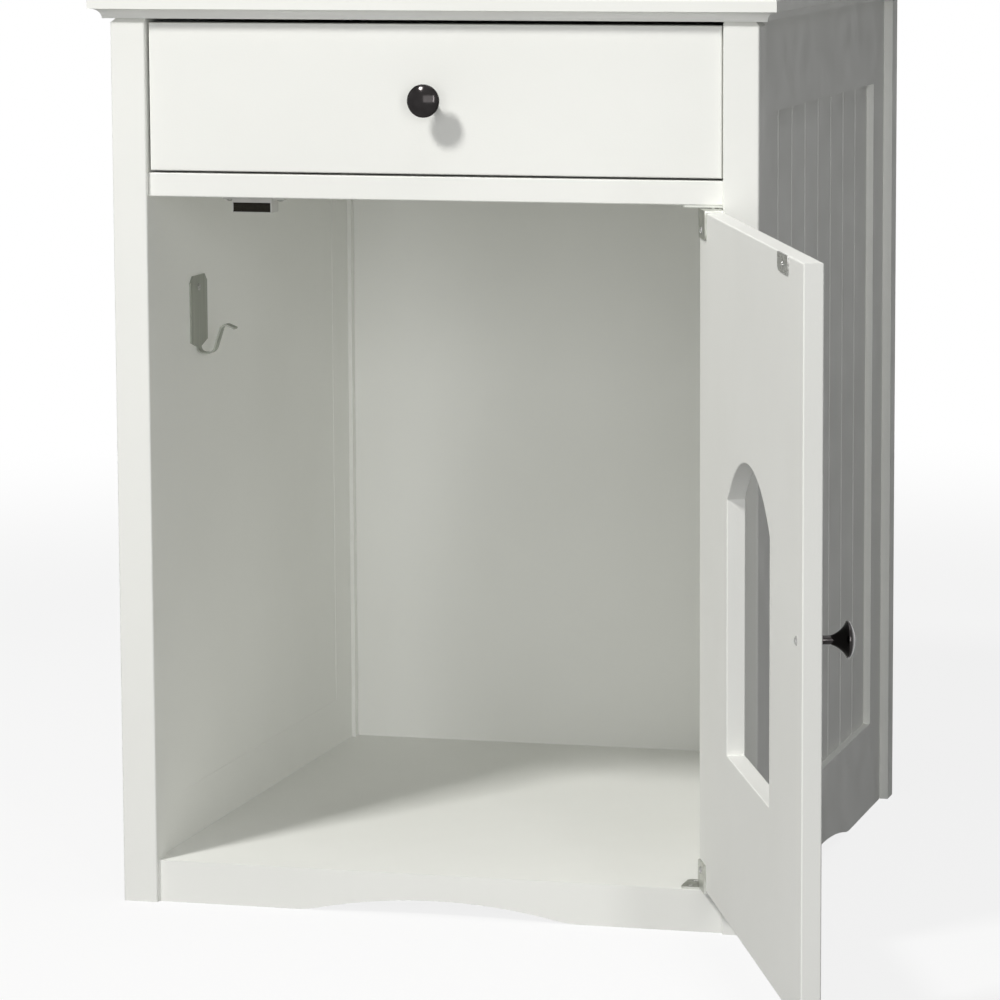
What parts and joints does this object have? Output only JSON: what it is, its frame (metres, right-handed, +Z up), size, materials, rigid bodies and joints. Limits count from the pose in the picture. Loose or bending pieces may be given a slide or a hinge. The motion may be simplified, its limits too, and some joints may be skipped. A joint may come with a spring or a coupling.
{
  "type": "cat litter box cabinet",
  "caption": "Side-table cabinet that hides a litter box: panelled sides, drawer on roller slides and a pivot-hinged door with an arched way in for the cat.",
  "frame": {"origin": "on the floor plane, at the middle of the back", "axes": "+Z up; -Y out of the front, where the door and drawer are; +X towards the hinge side; the door stands open at rest"},
  "size_m": [0.6044, 0.8636, 0.637],
  "materials": {
    "catch_plastic": "white moulded plastic",
    "drawer_box_board": "matt white foil on board",
    "hinge_nickel": "satin nickel plate",
    "hook_steel": "satin nickel plate",
    "knob_chrome": "polished dark chrome plate",
    "magnet_ferrite": "dark sintered ferrite",
    "pole_steel": "bare steel",
    "roller_plastic": "white nylon",
    "screw_steel": "zinc plate",
    "slide_steel": "white powder coat",
    "strike_steel": "zinc plate",
    "white_paint": "satin white paint on board"
  },
  "bodies": {
    "cabinet": {"back_panel": "white_paint", "catch_housing": "catch_plastic", "catch_magnet": "magnet_ferrite", "catch_pole_plates": "pole_steel", "catch_screws": "screw_steel", "divider_shelf": "white_paint", "floor_panel": "white_paint", "front_apron": "white_paint", "front_left_post": "white_paint", "front_right_post": "white_paint", "hinge_frame_screws": "screw_steel", "hook_screw": "screw_steel", "left_bead_panel": "white_paint", "left_bottom_rail": "white_paint", "left_drawer_rail": "slide_steel", "left_front_stile": "white_paint", "left_rear_stile": "white_paint", "left_top_rail": "white_paint", "lower_hinge_frame_leaf": "hinge_nickel", "lower_hinge_pin": "hinge_nickel", "rail_screws": "screw_steel", "rear_left_post": "white_paint", "rear_right_post": "white_paint", "right_bead_panel": "white_paint", "right_bottom_rail": "white_paint", "right_drawer_rail": "slide_steel", "right_front_stile": "white_paint", "right_rear_stile": "white_paint", "right_top_rail": "white_paint", "scoop_hook": "hook_steel", "top_board": "white_paint", "upper_hinge_frame_leaf": "hinge_nickel", "upper_hinge_pin": "hinge_nickel"},
    "door": {"door_panel": "white_paint", "door_knob": "knob_chrome", "door_knob_screw": "screw_steel", "strike_plate": "strike_steel", "strike_screw": "screw_steel", "upper_hinge_door_leaf": "hinge_nickel", "lower_hinge_door_leaf": "hinge_nickel", "hinge_door_screws": "screw_steel"},
    "drawer": {"drawer_front": "white_paint", "drawer_left_side": "drawer_box_board", "drawer_right_side": "drawer_box_board", "drawer_back": "drawer_box_board", "drawer_bottom": "drawer_box_board", "drawer_knob": "knob_chrome", "drawer_knob_screw": "screw_steel", "left_drawer_runner": "slide_steel", "right_drawer_runner": "slide_steel", "runner_screws": "screw_steel"},
    "left_rail_roller": {"left_rail_roller": "roller_plastic"},
    "left_runner_roller": {"left_runner_roller": "roller_plastic"},
    "right_rail_roller": {"right_rail_roller": "roller_plastic"},
    "right_runner_roller": {"right_runner_roller": "roller_plastic"}
  },
  "joints": [
    {"name": "door_swing", "type": "hinge", "parent": "cabinet", "child": "door", "pos_m": [0.196, -0.4908, 0.26], "axis": [0, 0, 1], "range_deg": [-111.6, 2]},
    {"name": "drawer_slide", "type": "slide", "parent": "cabinet", "child": "drawer", "axis": [0, -1, 0], "range_m": [0, 0.3]},
    {"name": "left_rail_roller_spin", "type": "hinge", "parent": "cabinet", "child": "left_rail_roller", "pos_m": [-0.2016, -0.4647, 0.5275], "axis": [1, 0, 0], "range_deg": [0, 2024]},
    {"name": "left_runner_roller_spin", "type": "hinge", "parent": "drawer", "child": "left_runner_roller", "pos_m": [-0.1999, -0.046, 0.5275], "axis": [1, 0, 0], "range_deg": [0, 2024]},
    {"name": "right_rail_roller_spin", "type": "hinge", "parent": "cabinet", "child": "right_rail_roller", "pos_m": [0.2016, -0.4647, 0.5275], "axis": [1, 0, 0], "range_deg": [0, 2024]},
    {"name": "right_runner_roller_spin", "type": "hinge", "parent": "drawer", "child": "right_runner_roller", "pos_m": [0.1999, -0.046, 0.5275], "axis": [1, 0, 0], "range_deg": [0, 2024]}
  ],
  "couplings": [
    {"joint": "left_rail_roller_spin", "follows": "drawer_slide", "rad_per_m": 117.65},
    {"joint": "left_runner_roller_spin", "follows": "drawer_slide", "rad_per_m": 117.65},
    {"joint": "right_rail_roller_spin", "follows": "drawer_slide", "rad_per_m": 117.65},
    {"joint": "right_runner_roller_spin", "follows": "drawer_slide", "rad_per_m": 117.65}
  ]
}
